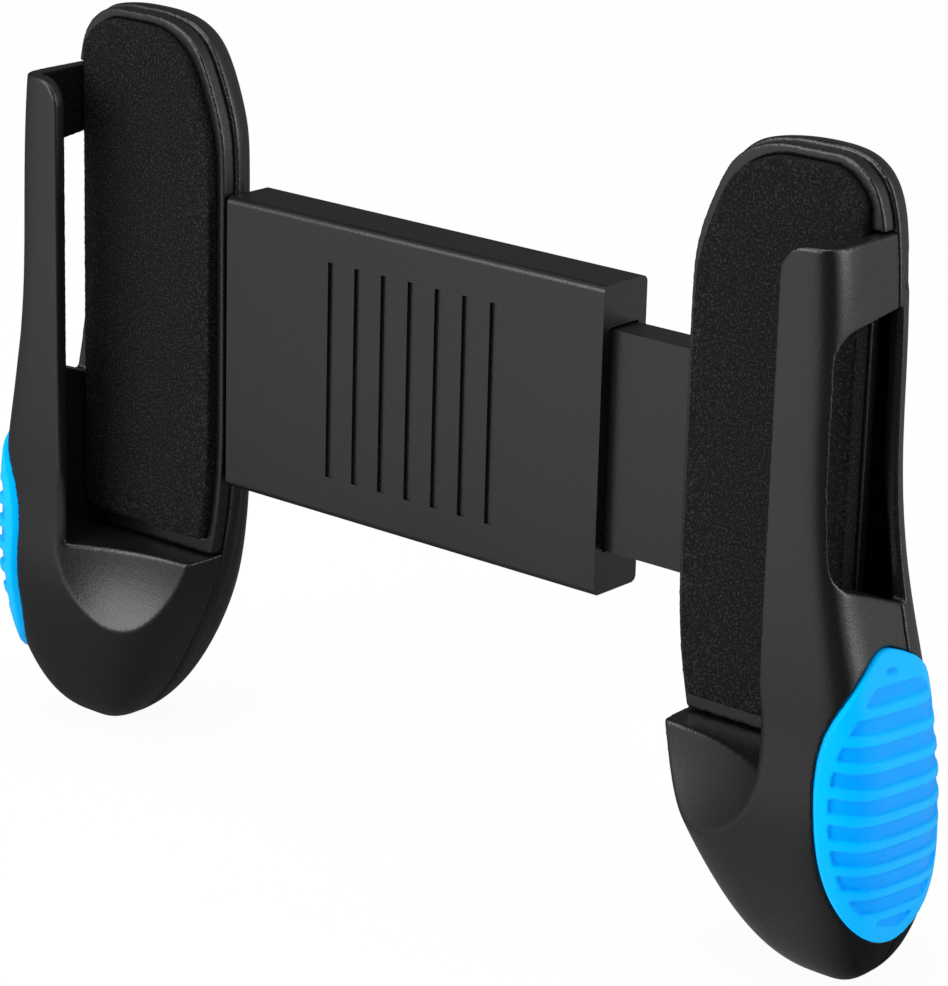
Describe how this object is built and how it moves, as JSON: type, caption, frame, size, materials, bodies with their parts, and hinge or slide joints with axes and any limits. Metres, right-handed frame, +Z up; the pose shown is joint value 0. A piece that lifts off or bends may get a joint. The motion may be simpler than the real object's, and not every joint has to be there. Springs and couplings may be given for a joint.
{
  "type": "phone gaming grip",
  "caption": "Two-handed clamp-on grip for a phone held sideways: mirrored handles with soft ribbed side pads, joined behind the phone by a sprung telescopic bridge.",
  "frame": {"origin": "bottom centre of the whole object at rest, between the two handles' feet", "axes": "+X across the object from the sleeve's half to the slider's half, +Y to the back, +Z up"},
  "size_m": [0.163, 0.0294, 0.1125],
  "materials": {
    "shell": "fine matte texture",
    "foam": "grainy closed-cell foam",
    "soft_grip": "satin",
    "bridge": "fine matte texture",
    "screw": "black oxide",
    "spring": "bright drawn wire",
    "pin": "ground"
  },
  "bodies": {
    "left_half": {"left_front_shell": "shell", "left_back_shell": "shell", "left_backrest": "shell", "left_foam_pad": "foam", "left_grip_pad": "soft_grip", "left_shell_screws": "screw", "sleeve_front": "bridge", "sleeve_back": "bridge", "sleeve_screws": "screw", "sleeve_pins": "pin", "sleeve_mount_screws": "screw", "spring_upper": "spring", "spring_lower": "spring"},
    "right_half": {"right_front_shell": "shell", "right_back_shell": "shell", "right_backrest": "shell", "right_foam_pad": "foam", "right_grip_pad": "soft_grip", "right_shell_screws": "screw", "slider_body": "bridge", "slider_cover": "bridge", "slider_pins": "pin", "slider_mount_screws": "screw"}
  },
  "joints": [
    {"name": "clamp_slide", "type": "slide", "parent": "left_half", "child": "right_half", "axis": [1, 0, 0], "range_m": [-0.013, 0.027], "stiffness_N_per_m": 120, "springref_m": -0.03, "deforming": ["spring_upper", "spring_lower"]}
  ]
}
